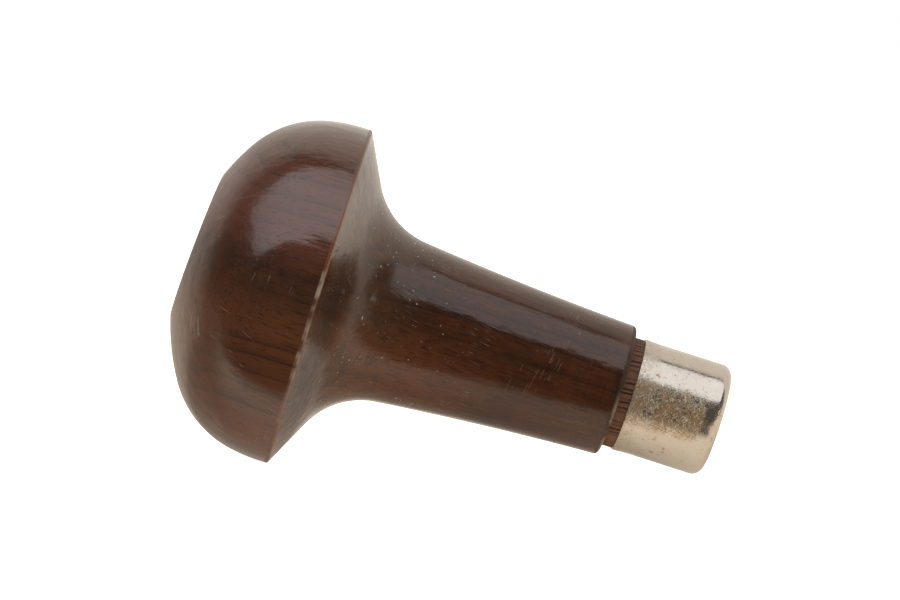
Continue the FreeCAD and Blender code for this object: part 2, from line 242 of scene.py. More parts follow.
class Outline:
    """An outline drawn with one vertex as its pen, in the plane of x and z, where z is the radius."""

    def __init__(self, name, x, z):
        bpy.ops.object.select_all(action="DESELECT")
        bpy.ops.mesh.primitive_plane_add(size=MM, location=(0, 0, 0))
        self.piece = bpy.context.object
        self.piece.name = name
        bpy.ops.object.mode_set(mode="EDIT")
        bpy.ops.mesh.select_mode(type="VERT")
        bpy.ops.mesh.merge(type="CENTER")
        bpy.ops.transform.translate(value=(x, 0, z))
        self.at = Vector((x, 0, z))

    def line(self, x, z, steps=1):
        """Draws a straight run in equal steps."""
        end = Vector((x, 0, z))
        for _ in range(steps):
            bpy.ops.mesh.extrude_region_move(
                TRANSFORM_OT_translate={"value": (end - self.at) / steps})
        self.at = end

    def arc(self, centre, end, steps):
        """Draws an arc about centre, the short way round."""
        a, b = self.at - centre, end - centre
        turn = math.atan2(a.z * b.x - a.x * b.z, a.dot(b))
        bpy.ops.mesh.spin(steps=steps, angle=-turn, center=centre, axis=(0, 1, 0))
        self.at = end

    def turned(self, steps, sweep=2 * math.pi):
        """Spins the outline about the tool's axis and returns the piece.

        A full turn closes at its seam, and a part of a turn starts and ends in a flat face.
        """
        bpy.ops.mesh.select_all(action="SELECT")
        if sweep < 2 * math.pi:
            bpy.ops.mesh.remove_doubles(threshold=MERGE_DISTANCE)
            bpy.ops.mesh.edge_face_add()
        bpy.ops.mesh.spin(steps=steps, angle=sweep, center=(0, 0, 0), axis=(1, 0, 0))
        bpy.ops.mesh.select_all(action="SELECT")
        bpy.ops.mesh.remove_doubles(threshold=MERGE_DISTANCE)
        bpy.ops.mesh.normals_make_consistent(inside=False)
        bpy.ops.object.mode_set(mode="OBJECT")
        return self.piece


def pt(x, z):
    """A point of an outline."""
    return Vector((x, 0, z))


def polar(centre, radius, degrees):
    """A point on a circle: 0 degrees looks along the axis, 90 straight out."""
    a = math.radians(degrees)
    return centre + pt(radius * math.cos(a), radius * math.sin(a))


def pick(piece, test):
    """Selects the vertices whose place passes the test, and leaves the piece in edit mode."""
    bpy.ops.object.mode_set(mode="EDIT")
    bpy.ops.mesh.select_mode(type="VERT")
    bpy.ops.mesh.select_all(action="DESELECT")
    bpy.ops.object.mode_set(mode="OBJECT")
    for vertex in piece.data.vertices:
        vertex.select = test(vertex.co)
    bpy.ops.object.mode_set(mode="EDIT")


def select_only(piece):
    """Makes a piece the only one that is selected, and the active one."""
    bpy.ops.object.select_all(action="DESELECT")
    piece.select_set(True)
    bpy.context.view_layer.objects.active = piece


def place_mesh(piece, matrix):
    """Moves a piece, and puts the move into its mesh."""
    select_only(piece)
    piece.matrix_world = matrix
    bpy.ops.object.transform_apply(location=True, rotation=True, scale=True)


def lay_down(piece):
    """Puts a finished piece where the frame has the tool, with its place in its mesh."""
    bpy.ops.object.mode_set(mode="OBJECT")
    place_mesh(piece, laid_down)
    bpy.ops.object.shade_smooth_by_angle(angle=SMOOTH_ANGLE)


def finish(piece, material, body, slot, *nodes):
    """Gives a piece its material and ties it to its body and the nodes it stands for. The slot is not used."""
    piece.data.materials.clear()
    piece.data.materials.append(material)
    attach(piece, body)
    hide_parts(*nodes)


# --- materials --------------------------------------------------------------------------------

def rgba(value):
    """A colour with full alpha."""
    return [*value[:3], 1.0]


def add(tree, kind, inputs=None, stops=None, **settings):
    """Adds a node with its settings, sets or links its inputs, and fills a colour ramp's stops."""
    node = tree.nodes.new(kind)
    for name, value in settings.items():
        setattr(node, name, value)
    for key, value in (inputs or {}).items():
        if isinstance(value, bpy.types.NodeSocket):
            tree.links.new(value, node.inputs[key])
        else:
            socket = node.inputs[key]
            socket.default_value = rgba(value) if socket.type == "RGBA" else value
    if stops:
        ramp = node.color_ramp
        while len(ramp.elements) < len(stops):
            ramp.elements.new(0.5)
        for element, (place, shade) in zip(ramp.elements, stops):
            element.position = place
            element.color = rgba(shade)
    return node


def new_material(name, viewport):
    """An empty node material, with the colour that it has in a plain viewport."""
    material = bpy.data.materials.new(name)
    material.use_nodes = True
    material.node_tree.nodes.clear()
    material.diffuse_color = rgba(viewport)
    return material, material.node_tree


def tool_millimetres(tree):
    """The tool's own coordinates in millimetres: x along the axis from the rim, z up."""
    place = add(tree, "ShaderNodeTexCoord")
    return add(tree, "ShaderNodeMapping", {
        "Vector": place.outputs["Object"],
        "Location": stood_up.translation / MM,
        "Rotation": stood_up.to_euler(),
        "Scale": (1 / MM, 1 / MM, 1 / MM),
    }).outputs["Vector"]


def stretched(tree, place, along, across):
    """Coordinates for a pattern with other scales along the tool's axis than across it."""
    return add(tree, "ShaderNodeMapping", {
        "Vector": place, "Scale": (along, across, across)}).outputs["Vector"]


def unrolled(tree, place, radius):
    """The turned surface rolled out flat, in millimetres: along its outline, and round its axis."""
    split = add(tree, "ShaderNodeSeparateXYZ", {"Vector": place})
    across = add(tree, "ShaderNodeVectorMath", {0: place, 1: (0, 1, 1)}, operation="MULTIPLY")
    out = add(tree, "ShaderNodeVectorMath", {
        0: across.outputs["Vector"]}, operation="LENGTH").outputs["Value"]
    along = add(tree, "ShaderNodeMath", {0: split.outputs["X"], 1: out}, operation="SUBTRACT")
    turn = add(tree, "ShaderNodeMath", {
        0: split.outputs["Y"], 1: split.outputs["Z"]}, operation="ARCTAN2")
    around = times(tree, turn.outputs["Value"], radius)
    flat = add(tree, "ShaderNodeCombineXYZ", {"X": along.outputs["Value"], "Y": around})
    return flat.outputs["Vector"], split.outputs["X"], out


def band(tree, value, low, high, inside=1.0, outside=0.0):
    """Goes smoothly from outside to inside as a value goes from low to high."""
    return add(tree, "ShaderNodeMapRange", {
        "Value": value, "From Min": low, "From Max": high, "To Min": outside, "To Max": inside,
    }, interpolation_type="SMOOTHSTEP").outputs["Result"]


def times(tree, product, *factors):
    """The product of all the values."""
    for factor in factors:
        product = add(tree, "ShaderNodeMath", {
            0: product, 1: factor}, operation="MULTIPLY").outputs["Value"]
    return product


def plus(tree, first, second, share=1.0):
    """A share of one value on top of another."""
    return add(tree, "ShaderNodeMath", {
        0: first, 1: share, 2: second}, operation="MULTIPLY_ADD").outputs["Value"]


def painted(tree, under, over, amount):
    """One colour laid over another by an amount from 0 to 1."""
    return add(tree, "ShaderNodeMix", {0: amount, 6: under, 7: over}, data_type="RGBA").outputs[2]


def scratches(tree, flat, degrees, run, width, rarity):
    """Straight scratches in one direction over an unrolled surface, run by width in millimetres.

    The higher the rarity, the fewer there are. Each set starts at another place of the noise.
    """
    turned = add(tree, "ShaderNodeMapping", {
        "Vector": flat, "Rotation": (0, 0, math.radians(degrees)), "Location": (degrees, rarity, 0)})
    drawn = add(tree, "ShaderNodeMapping", {
        "Vector": turned.outputs["Vector"], "Scale": (1 / run, 1 / width, 1)})
    lines = add(tree, "ShaderNodeTexNoise", {
        "Vector": drawn.outputs["Vector"], "Scale": 1.0, "Detail": 0.0}, noise_dimensions="2D")
    return band(tree, lines.outputs["Fac"], rarity, rarity + 0.07)


def surfaced(tree, height, depth, inputs, normals=("Normal",)):
    """Ends a material: a shader with its inputs, and a relief of some depth on the named normals."""
    relief = add(tree, "ShaderNodeBump", {"Height": height, "Distance": depth, "Strength": 1.0})
    bumped = {name: relief.outputs["Normal"] for name in normals}
    shader = add(tree, "ShaderNodeBsdfPrincipled", {**inputs, **bumped})
    add(tree, "ShaderNodeOutputMaterial", {"Surface": shader.outputs["BSDF"]})


def walnut(s):
    """Walnut, turned and sanded, stained and varnished satin.

    The eye gets long fibres and dark ring lines along the tool's axis, short pores, a thin gloss
    with fine lathe lines in it, grey scuffs under the head, worn wood at the rim, and bare wood at
    the collar.
    """
    material, tree = new_material("walnut_satin_varnish", s.heartwood)
    place = tool_millimetres(tree)
    flat, along, out = unrolled(tree, place, 8.5)
    up = add(tree, "ShaderNodeSeparateXYZ", {"Vector": place}).outputs["Z"]
    shoulder = s.stem_length / MM
    collar_out = s.collar_out / MM

    # Noise patterns: cells per millimetre along and across the grain, detail and roughness.
    noise = {}
    for name, fine_along, fine_across, detail, rough in (
            ("bold", 0.03, 0.13, 1.0, 0.5),
            ("streaks", 0.06, 1.4, 4.0, 0.62),
            ("mottle", 0.16, 0.34, 5.0, 0.6),
            ("hairs", 0.3, 4.2, 2.0, 0.5),
            ("flecks", 0.7, 2.4, 3.0, 0.6),
            ("lathe", 3.4, 0.04, 2.0, 0.7),
            ("cloud", 0.5, 0.5, 6.0, 0.7),
            ("spots", 2.1, 2.1, 1.0, 0.5),
            ("broad", 0.12, 0.12, 3.0, 0.7),
            ("wavy", 0.22, 0.5, 2.0, 0.5)):
        noise[name] = add(tree, "ShaderNodeTexNoise", {
            "Vector": stretched(tree, place, fine_along, fine_across), "Scale": 1.0,
            "Detail": detail, "Roughness": rough}).outputs["Fac"]

    # Growth rings round a pith 62 mm above the tool and 12 mm to its side; they wander by up to
    # 6 mm along the grain. Each ring darkens slowly and ends sharply.
    drift = add(tree, "ShaderNodeTexNoise", {
        "Vector": stretched(tree, place, 0.02, 0.1), "Scale": 1.0, "Detail": 2.0})
    wandered = add(tree, "ShaderNodeVectorMath", {
        0: drift.outputs["Color"], 1: (0, 6, 6), 2: place}, operation="MULTIPLY_ADD")
    from_pith = add(tree, "ShaderNodeVectorMath", {0: wandered.outputs["Vector"], 1: (0, 12, -62)})
    rings = add(tree, "ShaderNodeTexWave", {
        "Vector": from_pith.outputs["Vector"], "Scale": WAVE_MILLIMETRE / s.ring_gap * MM},
        wave_type="RINGS", rings_direction="X", wave_profile="SAW")
    late = add(tree, "ShaderNodeValToRGB", {"Fac": rings.outputs["Fac"]}, stops=[
        (spot, [grey] * 3) for spot, grey in ((0.0, 0.25), (0.35, 0.05), (0.8, 0.6), (0.93, 1.0))])
    ring_strength = band(tree, noise["bold"], 0.4, 0.68, 0.75, 0.08)

    # Fibres, long along the grain: streaks about 0.7 mm and pores about 0.2 mm wide. The upper side of the head is
    # redder, partly the wood's own tone and partly painted light from the softbox; the lower side of head and stem
    # is warmer with painted light bounced off the floor.
    figure = plus(tree, noise["streaks"], times(tree, noise["mottle"], 0.4), 0.3)
    figure = plus(tree, noise["flecks"], figure, 0.3)
    wood = add(tree, "ShaderNodeValToRGB", {"Fac": figure}, stops=(
        (0.30, s.latewood), (0.49, s.heartwood), (0.70, s.earlywood)))
    # The redder upper side of the head: partly the wood's own tone, partly painted light where the softbox falls
    # on it.
    ruddy_tone_and_light = times(tree, band(tree, along, 1.0, -0.5), band(tree, up, 3.0, 8.0),
                     band(tree, up, 18.0, 14.0, 0.5, 0.2))
    flushed = painted(tree, wood.outputs["Color"], s.ruddy, ruddy_tone_and_light)
    # Painted light: the lower side of head and stem is warmed as if lit by light bounced off the floor.
    painted_bounce_light = times(tree, band(tree, along, 26.0, 12.0), band(tree, up, 3.0, -4.0), 0.55)
    bounce_lit_wood = painted(tree, flushed, s.bounce_tint, painted_bounce_light)
    ringed = painted(tree, bounce_lit_wood, s.latewood, times(tree, late.outputs["Color"], ring_strength))
    pores = band(tree, noise["hairs"], 0.57, 0.66)
    porous = painted(tree, ringed, s.latewood, times(tree, pores, 0.55))

    # Lathe lines round the axis, 0.3 mm apart, plainer towards the shoulder.
    turned_lines = times(tree, band(tree, noise["lathe"], 0.38, 0.62),
                         band(tree, along, 26.0, 38.0, 1.0, 0.25))
    lined = painted(tree, porous, s.earlywood, times(tree, turned_lines, 0.2))

    # Scuffed varnish: grey on the underside and the cove, with dirt blots near the cove and shoulder, painted
    # shade just under the rim and on the shoulder's edge, white specks and scratches.
    scuff = times(tree, band(tree, along, 0.2, 0.8), band(tree, along, 15.0, 7.0),
                  band(tree, noise["cloud"], 0.25, 0.75, 0.3, 0.1))
    scuffed = painted(tree, lined, s.scuffs, scuff)
    near_cove = times(tree, band(tree, along, 1.0, 6.0), band(tree, along, 22.0, 12.0))
    blots = band(tree, noise["cloud"], 0.5, 0.62)
    shoulder_dirt = band(tree, along, shoulder - 3.9, shoulder - 0.8)
    # The shoulder's edge is darkened to dim its highlight: painted shade.
    shoulder_edge = band(tree, along, shoulder - 0.7, shoulder - 0.45)
    dirt_and_shade = plus(tree, times(tree, blots, plus(tree, near_cove, shoulder_dirt, 0.7)), shoulder_edge)
    # Painted shade: a darker band just under the rim, stronger on its lower side.
    under_rim = times(tree, band(tree, along, 0.3, 1.2), band(tree, along, 4.0, 2.2))
    dirt_and_shade = plus(tree, times(tree, under_rim, band(tree, up, 7.0, 2.0)), dirt_and_shade)
    dirty_and_shaded = painted(tree, scuffed, s.latewood, times(tree, dirt_and_shade, 0.5))
    specks = times(tree, band(tree, noise["spots"], 0.69, 0.77),
                   band(tree, noise["cloud"], 0.45, 0.58), near_cove)
    specked = painted(tree, dirty_and_shaded, s.residue_and_sheen, specks)
    lengthwise = times(tree, scratches(tree, flat, 8, 2.6, 0.12, 0.75),
                       band(tree, noise["broad"], 0.57, 0.62))
    crosswise = times(tree, scratches(tree, flat, -80, 2.4, 0.12, 0.73),
                      band(tree, noise["broad"], 0.41, 0.37))
    cuts = plus(tree, lengthwise, crosswise)
    cut = painted(tree, specked, s.residue_and_sheen, times(tree, cuts, 0.2))

    # Varnish rubbed through at the rim, a painted highlight along the rim's middle, and polish left in the
    # shoulder's corner.
    rim = times(tree, band(tree, along, -0.42, -0.22), band(tree, out, 21.2, 21.6),
                band(tree, along, 0.3, 0.1))
    worn = times(tree, rim, band(tree, up, 2.0, 5.0, 0.9, 0.3), band(tree, up, 17.0, 12.0, 1.0, 0.35))
    rubbed = painted(tree, cut, s.worn_wood, worn)
    # Painted highlight: a whitish line along the middle of the rim.
    halfway = times(tree, band(tree, up, 6.5, 4.5), band(tree, up, -10.0, -6.0, 1.0, 0.15))
    line = times(tree, rim, band(tree, noise["broad"], 0.46, 0.56), halfway)
    corner = times(tree, band(tree, along, shoulder - 0.5, shoulder - 0.2),
                   band(tree, along, shoulder + 0.3, shoulder))
    left_behind = times(tree, corner, band(tree, noise["cloud"], 0.35, 0.6), band(tree, up, 1.0, -2.0))
    grime_and_sheen = painted(tree, rubbed, s.residue_and_sheen, plus(tree, left_behind, times(tree, line, 0.6), 0.5))

    # The collar is bare, with painted shade in its furrows.
    bare = times(tree, band(tree, along, shoulder - 0.05, shoulder + 0.1),
                 band(tree, out, collar_out + 0.5, collar_out + 0.2))
    pressed = band(tree, out, collar_out - 0.03, collar_out - 0.16, 0.85, 0.0)
    collar = painted(tree, s.bare_wood, s.latewood,
                     plus(tree, pressed, times(tree, pores, 0.3)))
    shade = painted(tree, grime_and_sheen, collar, bare)

    # Gloss: thin varnish over the grain, dull where it is scuffed or bare.
    gloss = plus(tree, noise["streaks"], 0.08, 0.1)
    dull = plus(tree, scuff, plus(tree, band(tree, along, -5.0, -14.0), gloss, 0.2), 0.45)
    dull = plus(tree, shoulder_edge, plus(tree, rim, dull, 0.3), 0.45)
    roughness = plus(tree, bare, dull, 0.2)
    varnish = times(
        tree, band(tree, along, 4.0, -0.5, 0.8, 0.0), band(tree, along, -13.0, -6.0),
        band(tree, up, 17.5, 13.0, 1.0, 0.35), band(tree, up, -17.0, -9.0, 1.0, 0.3))
    height = plus(tree, turned_lines, times(tree, noise["streaks"], 0.25), 0.3)
    height = plus(tree, pores, height, -0.12)
    height = plus(tree, noise["wavy"], height, 2.6)
    height = plus(tree, cuts, height, -0.2)
    surfaced(tree, height, 0.03 * MM, {
        "Base Color": shade, "Roughness": roughness, "IOR": 1.5,
        "Coat Weight": varnish, "Coat Roughness": 0.13}, normals=("Normal", "Coat Normal"))
    return material


def nickel_plate(s):
    """Brass, drawn and nickel-plated, polished once and worn since.

    The eye gets a warm mirror with criss-cross scratches that flash gold, through their relief and through painted
    glints of a light brass colour, haze between them, and brown specks and clouds of tarnish.
    """
    material, tree = new_material("nickel_plated_brass_worn", s.nickel)
    place = tool_millimetres(tree)
    flat, along, out = unrolled(tree, place, ferrule_out / MM)

    cross = add(tree, "ShaderNodeSeparateXYZ", {"Vector": flat})
    side = add(tree, "ShaderNodeMath", {0: cross.outputs["Y"]}, operation="ABSOLUTE").outputs["Value"]
    # Noise patterns, as in the walnut.
    noise = {}
    for name, fine_along, fine_across, detail, rough in (
            ("rubbed", 0.35, 0.35, 4.0, 0.6), ("grain", 2.6, 2.6, 5.0, 0.75),
            ("dots", 1.7, 1.7, 3.0, 0.6), ("swell", 0.3, 0.5, 2.0, 0.5)):
        noise[name] = add(tree, "ShaderNodeTexNoise", {
            "Vector": stretched(tree, place, fine_along, fine_across), "Scale": 1.0,
            "Detail": detail, "Roughness": rough}).outputs["Fac"]

    # Fingers wore a band on either side of the ferrule, and spared its nose.
    handled = times(tree, band(tree, side, 7.4, 9.4), band(tree, side, 15.6, 12.6),
                    band(tree, along, 50.6, 49.6, 1.0, 0.15))

    # Scratches: angle in degrees, run and width in millimetres, and rarity.
    fine = scratches(tree, flat, 8, 5.0, 0.12, 0.68)
    for degrees, run, width, rarity in (
            (-34, 3.2, 0.12, 0.66), (62, 3.6, 0.11, 0.66), (101, 4.4, 0.12, 0.67),
            (-71, 2.4, 0.13, 0.67), (30, 2.2, 0.11, 0.67)):
        fine = plus(tree, fine, scratches(tree, flat, degrees, run, width, rarity))
    fine = times(tree, fine, band(tree, handled, 0.0, 1.0, 1.0, 0.12))
    worn = times(tree, band(tree, noise["rubbed"], 0.3, 0.6),
                 band(tree, handled, 0.0, 1.0, 1.0, 0.2))
    clouds = times(tree, band(tree, noise["grain"], 0.5, 0.72),
                   band(tree, noise["rubbed"], 0.5, 0.66))
    specks = times(tree, band(tree, noise["dots"], 0.6, 0.68),
                   band(tree, noise["rubbed"], 0.4, 0.55))
    rear = times(tree, band(tree, along, ferrule_rear / MM + 3.2, ferrule_rear / MM + 0.4),
                 band(tree, noise["grain"], 0.4, 0.6))

    # Painted glints: light flecks in the handled bands, with a relief that also catches the light.
    flecks = plus(tree, scratches(tree, flat, 64, 0.9, 0.17, 0.73),
                  scratches(tree, flat, -52, 0.7, 0.17, 0.74))
    glints = times(tree, flecks, handled)
    gilt_and_glint = painted(tree, s.nickel, s.brass, times(tree, plus(tree, fine, worn, 0.6), 0.5))
    gilt_and_glint = painted(tree, gilt_and_glint, s.glint, glints)
    stained = painted(tree, gilt_and_glint, s.tarnish, times(tree, clouds, 0.5))
    shade = painted(tree, stained, s.tarnish, plus(tree, specks, times(tree, rear, 0.35), 0.6))
    haze = plus(tree, worn, plus(tree, clouds, 0.06, 0.15), 0.27)
    scratched = plus(tree, plus(tree, fine, glints), haze, 0.12)
    roughness = plus(tree, plus(tree, specks, rear), scratched, 0.25)

    height = plus(tree, fine, times(tree, noise["swell"], 1.2), -0.6)
    height = plus(tree, noise["grain"], height, 0.015)
    height = plus(tree, glints, height, 1.3)
    height = plus(tree, rear, height, 0.5)
    surfaced(tree, height, 0.02 * MM, {"Base Color": shade, "Metallic": 1.0, "Roughness": roughness})
    return material


def drawn_metal(name, base, stain, roughness, spacing, spread):
    """Metal that shows how it was drawn or turned.

    The eye gets fine lines round the axis, a patchy stain in the colour, and uneven gloss.
    """
    material, tree = new_material(name, base)
    place = tool_millimetres(tree)
    lines = add(tree, "ShaderNodeTexNoise", {
        "Vector": stretched(tree, place, 1 / spacing, 0.15 / spacing), "Scale": 1.0, "Detail": 3.0})
    patches = add(tree, "ShaderNodeTexNoise", {
        "Vector": place, "Scale": 1 / spread, "Detail": 5.0, "Roughness": 0.65})
    stained = painted(tree, base, stain,
                      band(tree, patches.outputs["Fac"], 0.42, 0.66, 0.8, 0.0))
    shade = painted(tree, stained, stain, band(tree, lines.outputs["Fac"], 0.5, 0.7, 0.35, 0.0))
    gloss = plus(tree, patches.outputs["Fac"], roughness - 0.12, 0.3)
    height = plus(tree, lines.outputs["Fac"], times(tree, patches.outputs["Fac"], 0.3), 0.5)
    surfaced(tree, height, 0.02 * MM, {"Base Color": shade, "Metallic": 1.0, "Roughness": gloss})
    return material


# --- pieces -----------------------------------------------------------------------------------

def head_outline(s):
    """Points and arc centres of the head and stem, worked out from the settings."""
    land = pt(s.land_middle, head_out - s.land_radius)
    land_end = polar(land, s.land_radius, 90 + math.degrees(s.land_turn))
    shoulder = polar(land_end, s.shoulder_radius, math.degrees(s.land_turn) - 90)
    between = s.crown_radius - s.shoulder_radius
    crown = pt(shoulder.x + math.sqrt(between ** 2 - shoulder.z ** 2), 0)
    shoulder_end = crown + (shoulder - crown).normalized() * s.crown_radius
    flat_x = crown.x - (s.crown_radius - s.flat_depth) * math.cos(s.flat_tilt)
    edge_x = flat_x + s.flat_edge
    edge = pt(edge_x, math.sqrt((s.crown_radius - s.flat_edge) ** 2 - (crown.x - edge_x) ** 2))
    edge_end = crown + (edge - crown).normalized() * s.crown_radius
    return land, land_end, shoulder, shoulder_end, crown, flat_x, edge, edge_end


def line_meets_circle(start, direction, centre, radius, side):
    """Where a line meets a circle: side -1 is the first meeting along direction, 1 the second."""
    along = (centre - start).dot(direction)
    foot = start + direction * along
    return foot + direction * side * math.sqrt(radius ** 2 - (centre - foot).length_squared)


class LINO_OT_handle(bpy.types.Operator):
    """Turn the wooden handle: head, stem and collar in one piece"""
    bl_idname = "lino.handle"
    bl_label = "Handle"

    def execute(self, context):
        s = context.scene.lino_handle
        land, land_end, shoulder, shoulder_end, crown, flat_x, edge, edge_end = head_outline(s)
        down = polar(pt(0, 0), 1, math.degrees(s.undercut) - 90)
        inwards = polar(pt(0, 0), 1, math.degrees(s.undercut) + 180)
        rim_corner = pt(0, land.z + math.sqrt(s.land_radius ** 2 - land.x ** 2))
        rim = line_meets_circle(
            rim_corner + inwards * s.rim_edge, down, land, s.land_radius - s.rim_edge, -1)
        rim_start = land + (rim - land).normalized() * s.land_radius
        rim_end = rim - inwards * s.rim_edge
        stem_end = pt(s.stem_length, s.stem_end)
        hollow = polar(stem_end, s.stem_hollow, 90 - math.degrees(s.stem_taper))
        cove = line_meets_circle(
            rim_end - inwards * s.cove_radius, down, hollow, s.stem_hollow - s.cove_radius, 1)
        cove_start = cove + inwards * s.cove_radius
        cove_end = cove + (cove - hollow).normalized() * s.cove_radius
        edge_x = s.stem_length - s.stem_edge
        depth = math.sqrt(s.stem_hollow ** 2 - (edge_x - hollow.x) ** 2)
        stem_edge_start = pt(edge_x, hollow.z - depth)
        stem_edge = stem_edge_start - pt(0, s.stem_edge)
        seat = ferrule_rear + 0.05 * MM
        chamfer_start = socket_face - 1.5 * MM
        chamfer_depth = 1.0 * MM
        tenon_end = socket_face - 0.6 * MM
        lined_bore = bore_out + 0.8 * MM
        bore_bottom = socket_back - 0.1 * MM

        outline = Outline("handle", flat_x, 0)
        outline.line(flat_x, edge.z, steps=18)
        outline.arc(edge, edge_end, steps=3)
        outline.arc(crown, shoulder_end, steps=14)
        outline.arc(shoulder, land_end, steps=30)
        outline.arc(land, rim_start, steps=12)
        outline.arc(rim, rim_end, steps=4)
        outline.line(cove_start.x, cove_start.z, steps=14)
        outline.arc(cove, cove_end, steps=20)
        outline.arc(hollow, stem_edge_start, steps=44)
        outline.arc(stem_edge, pt(s.stem_length, stem_edge.z), steps=4)
        outline.line(s.stem_length, s.collar_out, steps=2)
        outline.line(seat, s.collar_out, steps=10)
        outline.line(seat, s.tenon_out)
        outline.line(chamfer_start, s.tenon_out, steps=3)
        outline.line(tenon_end, s.tenon_out - chamfer_depth)
        outline.line(tenon_end, lined_bore)
        outline.line(bore_bottom, lined_bore, steps=2)
        outline.line(bore_bottom, 0)
        handle = outline.turned(450)

        # The palm flat leans, and takes the crown round it along.
        pick(handle, lambda co: co.x < edge_end.x + 0.01 * MM)
        bpy.ops.transform.rotate(
            value=-s.flat_tilt, orient_axis="Y", center_override=crown,
            use_proportional_edit=True, proportional_edit_falloff="SMOOTH",
            proportional_size=(shoulder_end - edge_end).length)

        self.furrow(handle, s)
        lay_down(handle)
        finish(handle, walnut(s), "holder", "varnished_hardwood", "turned_handle")
        return {"FINISHED"}

    def furrow(self, handle, s):
        """Presses slanted, uneven furrows into the collar, as the ferrule's edge left them.

        Each furrow is pressed in four levels, each narrower than the one above it.
        """
        rng = random.Random(7)
        count = round(2 * math.pi * s.collar_out / s.furrow_gap)
        pitch = 2 * math.pi / count
        furrows = [(rng.uniform(-0.22, 0.22), rng.uniform(0.05, 0.3), rng.uniform(0.2, 1.0))
                   for _ in range(count)]
        for level in range(4):
            def inside(co):
                if abs(math.hypot(co.y, co.z) - s.collar_out) > 0.3 * MM or co.x > ferrule_rear:
                    return False
                if co.x < s.stem_length + 0.1 * MM:
                    return False
                turn = math.atan2(co.y, co.z) / pitch
                shift, slant, strength = furrows[round(turn) % count]
                along = (co.x - s.stem_length) / (ferrule_rear - s.stem_length) - 0.5
                off = abs(turn - round(turn) - shift - slant * along)
                return off < 0.27 - 0.06 * level and strength > level * 0.24
            pick(handle, inside)
            bpy.ops.transform.shrink_fatten(value=-s.furrow_depth / 4)


class LINO_OT_ferrule(bpy.types.Operator):
    """Draw the plated cap that is pressed on the handle's tenon"""
    bl_idname = "lino.ferrule"
    bl_label = "Ferrule"

    def execute(self, context):
        s = context.scene.lino_ferrule
        out = ferrule_out - s.flare
        inside = out - s.wall
        flare_end = ferrule_rear + s.flare_length
        nose = pt(ferrule_nose - s.nose_radius, out - s.nose_radius)
        hole_edge = pt(ferrule_nose - s.hole_edge, s.hole_out + s.hole_edge)
        flange = ferrule_nose - s.wall
        bell_radius = (s.flare_length ** 2 + s.flare ** 2) / (2 * s.flare)
        lip = 0.12 * MM

        outline = Outline("ferrule", ferrule_rear, inside + s.flare)
        outline.line(ferrule_rear, ferrule_out - lip)
        outline.arc(pt(ferrule_rear + lip, ferrule_out - lip), pt(ferrule_rear + lip, ferrule_out), 4)
        outline.line(ferrule_rear + 2 * lip, ferrule_out, 1)
        outline.arc(pt(flare_end, out + bell_radius), pt(flare_end, out), 14)
        outline.line(nose.x, out, steps=22)
        outline.arc(nose, pt(ferrule_nose, nose.z), steps=14)
        outline.line(ferrule_nose, hole_edge.z, steps=3)
        outline.arc(hole_edge, pt(hole_edge.x, s.hole_out), steps=5)
        outline.line(flange, s.hole_out)
        outline.line(flange, nose.z)
        outline.arc(nose, pt(nose.x, inside), steps=6)
        outline.line(flare_end, inside, steps=4)
        outline.arc(pt(flare_end, inside + bell_radius), pt(ferrule_rear, inside + s.flare), 6)
        ferrule = outline.turned(240)
        lay_down(ferrule)
        finish(ferrule, nickel_plate(s), "holder", "nickel_plated_brass", "ferrule")
        return {"FINISHED"}


class LINO_OT_socket(bpy.types.Operator):
    """Draw the flanged sleeve that lines the bore"""
    bl_idname = "lino.socket"
    bl_label = "Socket"

    def execute(self, context):
        s = context.scene.lino_insert
        out = bore_out + s.sleeve_wall
        bottom = socket_back + s.sleeve_wall
        bead = socket_face - s.bead_from_face
        half = s.bead_width / 2
        bead_radius = (half ** 2 + s.bead_height ** 2) / (2 * s.bead_height)
        hole = s.screw_out + 0.1 * MM
        mouth_edge = pt(socket_face - s.mouth_edge, bore_out + s.mouth_edge)

        outline = Outline("nib_socket", socket_back, hole)
        outline.line(socket_back, out)
        outline.line(socket_face - s.sleeve_wall, out, steps=2)
        outline.line(socket_face - s.sleeve_wall, flange_out)
        outline.line(socket_face, flange_out)
        outline.line(socket_face, mouth_edge.z)
        outline.arc(mouth_edge, pt(mouth_edge.x, bore_out), steps=5)
        outline.line(bead + half, bore_out, steps=3)
        crest = pt(bead, bore_out + s.bead_height - bead_radius)
        outline.arc(crest, pt(bead, bore_out + s.bead_height), steps=5)
        outline.arc(crest, pt(bead - half, bore_out), steps=5)
        outline.line(bottom, bore_out, steps=6)
        outline.line(bottom, hole)
        outline.line(socket_back, hole)
        socket = outline.turned(120)
        lay_down(socket)
        steel = drawn_metal("drawn_steel_sleeve", s.sleeve_steel, s.sleeve_stain, 0.34, 0.25, 1.6)
        finish(socket, steel, "holder", "drawn_steel", "nib_socket")
        return {"FINISHED"}


